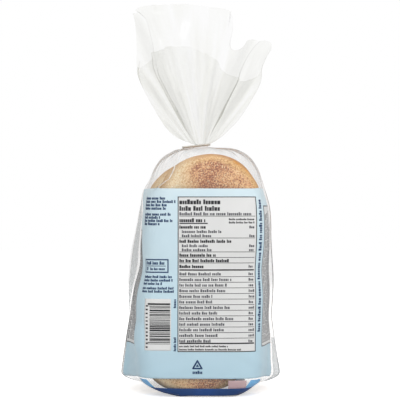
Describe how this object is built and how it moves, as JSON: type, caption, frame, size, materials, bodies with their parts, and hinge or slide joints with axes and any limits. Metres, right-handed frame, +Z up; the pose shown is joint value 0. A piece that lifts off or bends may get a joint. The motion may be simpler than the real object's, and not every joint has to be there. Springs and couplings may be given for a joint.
{
  "type": "bag of english muffins",
  "caption": "Clear printed film bag of English muffins, two stacks high, standing on its gusseted base, gathered at the neck by a flat closure tag under a fanned tail.",
  "frame": {"origin": "on the floor, at the middle of the bag's width and depth, under its flat foot", "axes": "+Z up along the bag's length from foot to mouth; the printed panel with the ruled table faces -Y; +X to the right of that panel"},
  "size_m": [0.136, 0.1042, 0.332],
  "materials": {
    "bag_film": "clear glossy polythene film, printed in pale blue, navy and grey",
    "tag_plastic": "grey sheet plastic",
    "print_ink": "flexo ink under a gloss film",
    "muffin_crust": "griddled bread crust with meal"
  },
  "bodies": {
    "root": {"bag": "bag_film", "closure_tag": "tag_plastic"}
  },
  "joints": []
}
